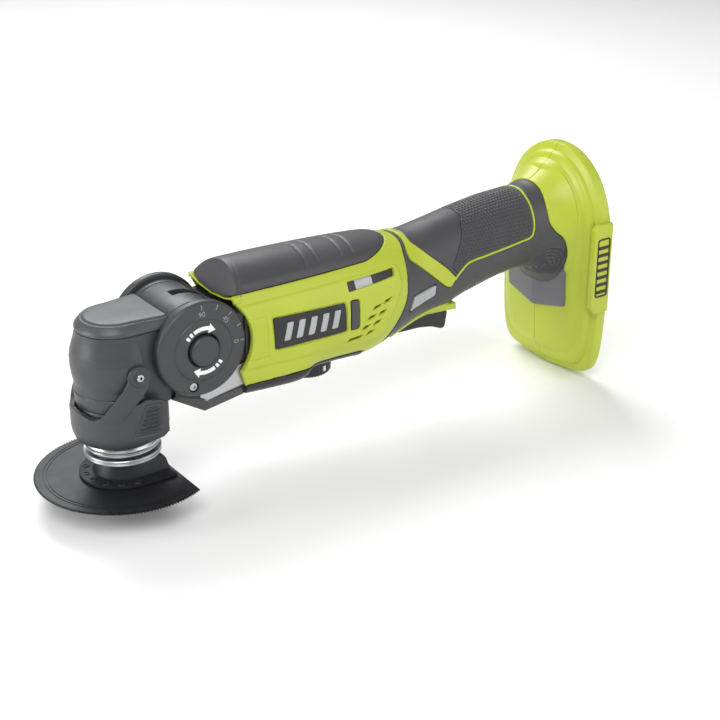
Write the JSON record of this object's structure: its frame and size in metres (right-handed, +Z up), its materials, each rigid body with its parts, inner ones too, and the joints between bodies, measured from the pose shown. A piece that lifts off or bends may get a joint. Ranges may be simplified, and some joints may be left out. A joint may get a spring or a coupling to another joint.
{
  "type": "oscillating multi tool",
  "caption": "Cordless oscillating multi tool with a tilting head, quick-release lever, half-round saw blade, dial, trigger and a pod battery dock.",
  "frame": {"origin": "middle of the underside of the bounding box, with the head untilted", "axes": "+X from the blade end to the battery dock, +Y to the tool's right side, +Z up, away from the blade"},
  "size_m": [0.318, 0.0848, 0.1294],
  "materials": {
    "lime_shell": "fine-textured moulded nylon, lime green",
    "rubber_grip": "soft grey overmould",
    "dark_plastic": "near-black moulded plastic",
    "head_casting": "dark grey coated casting",
    "bare_casting": "light grey cast surface",
    "steel": "turned steel",
    "black_steel": "blackened steel",
    "copper": "copper and bronze",
    "carbon": "carbon",
    "ferrite": "sintered ferrite"
  },
  "bodies": {
    "tool_body": {"housing_left": "lime_shell", "housing_right": "lime_shell", "top_grip": "rubber_grip", "lower_skirt": "dark_plastic", "handle_grip": "rubber_grip", "badge_left": "dark_plastic", "badge_right": "dark_plastic", "gear_case": "head_casting", "nose_chin": "bare_casting", "motor_can": "steel", "motor_magnet_upper": "ferrite", "motor_magnet_lower": "ferrite", "motor_front_bearing": "steel", "motor_rear_bearing": "steel", "motor_end_cap": "dark_plastic", "brush_left": "carbon", "brush_right": "carbon", "speed_potentiometer": "dark_plastic", "trigger_pin": "steel", "switch_body": "dark_plastic", "terminal_block": "dark_plastic", "terminal_positive": "copper", "terminal_negative": "copper", "housing_screw_1": "black_steel", "housing_screw_2": "black_steel", "housing_screw_3": "black_steel", "housing_screw_4": "black_steel", "housing_screw_5": "black_steel"},
    "head": {"head_housing": "head_casting", "head_cap": "head_casting", "tilt_dial_left": "head_casting", "tilt_dial_right": "head_casting", "dial_screw_left": "steel", "dial_screw_right": "steel", "tilt_pin_left": "steel", "tilt_pin_right": "steel", "upper_spindle_bearing": "steel", "lower_spindle_bearing": "steel", "bearing_collar": "steel", "lever_pin_left": "steel", "lever_pin_right": "steel"},
    "spindle_group": {"spindle": "steel", "output_flange": "steel", "oscillation_fork": "copper", "blade_hub": "black_steel", "saw_blade": "black_steel", "clamp_spring": "steel"},
    "rotor": {"motor_shaft": "steel", "armature_core": "black_steel", "armature_winding": "copper", "cooling_fan": "dark_plastic", "eccentric": "steel", "eccentric_bearing": "steel"},
    "head_button": {"head_lock_button": "head_casting"},
    "lever": {"clamp_lever": "head_casting"},
    "plunger": {"clamp_plunger": "steel"},
    "trigger_body": {"trigger": "dark_plastic"},
    "lock_left": {"lock_button_left": "bare_casting"},
    "lock_right": {"lock_button_right": "bare_casting"},
    "speed_wheel": {"speed_dial": "dark_plastic"}
  },
  "joints": [
    {"name": "head_tilt", "type": "hinge", "parent": "tool_body", "child": "head", "pos_m": [-0.0841, 0, 0.077], "axis": [0, 1, 0], "range_deg": [0, 90]},
    {"name": "head_button_press", "type": "slide", "parent": "head", "child": "head_button", "axis": [0, 1, 0], "range_m": [0, 0.0025], "stiffness_N_per_m": 400, "springref_m": -0.002},
    {"name": "lever_swing", "type": "hinge", "parent": "head", "child": "lever", "pos_m": [-0.1165, 0, 0.0713], "axis": [0, 1, 0], "range_deg": [0, 80]},
    {"name": "spindle_oscillation", "type": "hinge", "parent": "head", "child": "spindle_group", "pos_m": [-0.1165, 0, 0.047], "axis": [0, 0, 1], "range_deg": [-1.6, 1.6]},
    {"name": "plunger_release", "type": "slide", "parent": "spindle_group", "child": "plunger", "axis": [0, 0, -1], "range_m": [0, 0.002]},
    {"name": "motor_spin", "type": "hinge", "parent": "tool_body", "child": "rotor", "pos_m": [-0.0041, 0, 0.077], "axis": [1, 0, 0], "continuous": true},
    {"name": "trigger_pull", "type": "hinge", "parent": "tool_body", "child": "trigger_body", "pos_m": [0.0359, 0, 0.058], "axis": [0, -1, 0], "range_deg": [0, 5], "stiffness_Nm_per_rad": 0.6, "springref_deg": -5.73},
    {"name": "lock_left_press", "type": "slide", "parent": "tool_body", "child": "lock_left", "axis": [0, 1, 0], "range_m": [0, 0.002], "stiffness_N_per_m": 400, "springref_m": -0.002},
    {"name": "lock_right_press", "type": "slide", "parent": "tool_body", "child": "lock_right", "axis": [0, -1, 0], "range_m": [0, 0.002], "stiffness_N_per_m": 400, "springref_m": -0.002},
    {"name": "speed_wheel_turn", "type": "hinge", "parent": "tool_body", "child": "speed_wheel", "pos_m": [-0.0131, 0, 0.0454], "axis": [0, 0, 1], "range_deg": [0, 270]}
  ],
  "couplings": [
    {"joint": "plunger_release", "follows": "lever_swing", "m_per_rad": 0.00143}
  ]
}
